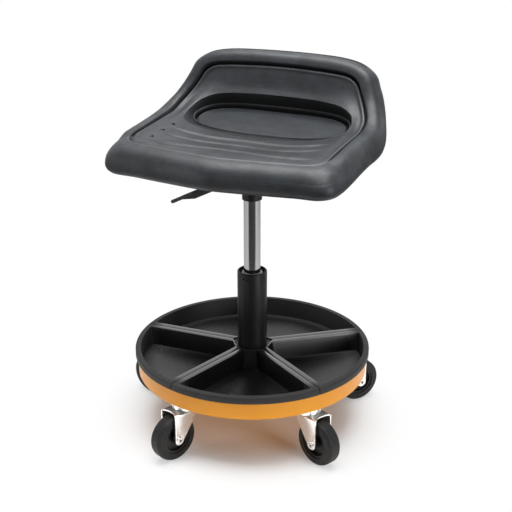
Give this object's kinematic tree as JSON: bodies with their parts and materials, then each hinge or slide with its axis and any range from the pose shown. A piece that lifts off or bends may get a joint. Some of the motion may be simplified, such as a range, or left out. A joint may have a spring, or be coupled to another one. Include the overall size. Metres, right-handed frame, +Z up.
{
  "type": "rolling mechanic's stool",
  "caption": "Low moulded seat with a short back on a gas lift, over a round base with wedge-shaped tool trays, an orange band and swivel casters.",
  "frame": {"origin": "on the floor, on the gas lift's axis", "axes": "+Z up along the gas lift, -Y the way the sitter faces, -X toward the release lever"},
  "size_m": [0.4409, 0.4489, 0.6152],
  "materials": {
    "seat_foam": "fine grained, matt, dark grey",
    "tray_plastic": "fine grained, matt, black",
    "band_paint": "satin orange powder coat",
    "black_steel": "satin black powder coat",
    "chrome": "polished",
    "zinc_steel": "bright zinc plate",
    "bare_steel": "machined",
    "brass_steel": "machined",
    "bush_plastic": "smooth, off-white",
    "core_plastic": "smooth, black",
    "tyre_rubber": "smooth, matt, black",
    "washer_rubber": "matt, black"
  },
  "bodies": {
    "base": {"column_tube": "black_steel", "column_end_plate": "bare_steel", "column_guide_bush": "bush_plastic", "hub_socket": "black_steel", "ring_band": "band_paint", "base_arm_1": "black_steel", "base_arm_2": "black_steel", "base_arm_3": "black_steel", "base_arm_4": "black_steel", "base_arm_5": "black_steel", "caster_plates": "black_steel", "stem_bushes": "bare_steel", "king_pins": "zinc_steel", "upper_races": "zinc_steel", "swivel_balls": "bare_steel", "lower_bearing_race": "bare_steel", "bearing_balls": "bare_steel"},
    "rod": {"piston_rod": "chrome", "piston_head": "core_plastic", "rod_clip": "bare_steel", "upper_bearing_race": "bare_steel", "cushion_washer": "washer_rubber"},
    "seat": {"gas_cylinder": "chrome", "cylinder_end_seal": "core_plastic", "valve_block": "bare_steel", "taper_hub": "black_steel", "seat_bracket": "black_steel", "lever_pivot_pin": "bare_steel", "seat_underpan": "black_steel", "seat_inserts": "brass_steel", "seat_screws": "zinc_steel", "seat_pad": "seat_foam"},
    "button": {"release_button": "bare_steel"},
    "lever": {"release_lever": "black_steel"},
    "tray_1": {"tray_1": "tray_plastic"},
    "tray_2": {"tray_2": "tray_plastic"},
    "tray_3": {"tray_3": "tray_plastic"},
    "tray_4": {"tray_4": "tray_plastic"},
    "tray_5": {"tray_5": "tray_plastic"},
    "caster_1": {"fork_1": "zinc_steel", "axle_1": "zinc_steel"},
    "caster_2": {"fork_2": "zinc_steel", "axle_2": "zinc_steel"},
    "caster_3": {"fork_3": "zinc_steel", "axle_3": "zinc_steel"},
    "caster_4": {"fork_4": "zinc_steel", "axle_4": "zinc_steel"},
    "caster_5": {"fork_5": "zinc_steel", "axle_5": "zinc_steel"},
    "wheel_1": {"wheel_core_1": "core_plastic", "tyre_1": "tyre_rubber"},
    "wheel_2": {"wheel_core_2": "core_plastic", "tyre_2": "tyre_rubber"},
    "wheel_3": {"wheel_core_3": "core_plastic", "tyre_3": "tyre_rubber"},
    "wheel_4": {"wheel_core_4": "core_plastic", "tyre_4": "tyre_rubber"},
    "wheel_5": {"wheel_core_5": "core_plastic", "tyre_5": "tyre_rubber"}
  },
  "joints": [
    {"name": "seat_swivel", "type": "hinge", "parent": "base", "child": "rod", "pos_m": [0, 0, 0.0506], "axis": [0, 0, 1], "continuous": true},
    {"name": "seat_lift", "type": "slide", "parent": "rod", "child": "seat", "axis": [0, 0, 1], "range_m": [-0.124, 0]},
    {"name": "lever_lift", "type": "hinge", "parent": "seat", "child": "lever", "pos_m": [-0.026, 0, 0.4286], "axis": [0, 1, 0], "range_deg": [0, 8]},
    {"name": "button_press", "type": "slide", "parent": "seat", "child": "button", "axis": [0, 0, 1], "range_m": [-0.0037, 0], "stiffness_N_per_m": 100},
    {"name": "tray_lift_1", "type": "slide", "parent": "base", "child": "tray_1", "axis": [0, 0, 1], "range_m": [0, 0.06]},
    {"name": "tray_lift_2", "type": "slide", "parent": "base", "child": "tray_2", "axis": [0, 0, 1], "range_m": [0, 0.06]},
    {"name": "tray_lift_3", "type": "slide", "parent": "base", "child": "tray_3", "axis": [0, 0, 1], "range_m": [0, 0.06]},
    {"name": "tray_lift_4", "type": "slide", "parent": "base", "child": "tray_4", "axis": [0, 0, 1], "range_m": [0, 0.06]},
    {"name": "tray_lift_5", "type": "slide", "parent": "base", "child": "tray_5", "axis": [0, 0, 1], "range_m": [0, 0.06]},
    {"name": "caster_swivel_1", "type": "hinge", "parent": "base", "child": "caster_1", "pos_m": [0.1287, 0.10953, 0.0878], "axis": [0, 0, 1], "continuous": true},
    {"name": "caster_swivel_2", "type": "hinge", "parent": "base", "child": "caster_2", "pos_m": [-0.0644, 0.15625, 0.0878], "axis": [0, 0, 1], "continuous": true},
    {"name": "caster_swivel_3", "type": "hinge", "parent": "base", "child": "caster_3", "pos_m": [-0.1685, -0.01297, 0.0878], "axis": [0, 0, 1], "continuous": true},
    {"name": "caster_swivel_4", "type": "hinge", "parent": "base", "child": "caster_4", "pos_m": [-0.03974, -0.16426, 0.0878], "axis": [0, 0, 1], "continuous": true},
    {"name": "caster_swivel_5", "type": "hinge", "parent": "base", "child": "caster_5", "pos_m": [0.14394, -0.08855, 0.0878], "axis": [0, 0, 1], "continuous": true},
    {"name": "wheel_spin_1", "type": "hinge", "parent": "caster_1", "child": "wheel_1", "pos_m": [0.14495, 0.13109, 0.0381], "axis": [-0.7986, 0.6018, 0], "continuous": true},
    {"name": "wheel_spin_2", "type": "hinge", "parent": "caster_2", "child": "wheel_2", "pos_m": [-0.07001, 0.18266, 0.0381], "axis": [-0.9781, -0.2079, 0], "continuous": true},
    {"name": "wheel_spin_3", "type": "hinge", "parent": "caster_3", "child": "wheel_3", "pos_m": [-0.19524, -0.00921, 0.0381], "axis": [-0.1392, -0.9903, 0], "continuous": true},
    {"name": "wheel_spin_4", "type": "hinge", "parent": "caster_4", "child": "wheel_4", "pos_m": [-0.04942, -0.18947, 0.0381], "axis": [0.9336, -0.3584, 0], "continuous": true},
    {"name": "wheel_spin_5", "type": "hinge", "parent": "caster_5", "child": "wheel_5", "pos_m": [0.16898, -0.09867, 0.0381], "axis": [0.3746, 0.9272, 0], "continuous": true}
  ],
  "couplings": [
    {"joint": "button_press", "follows": "lever_lift", "m_per_rad": -0.026}
  ]
}
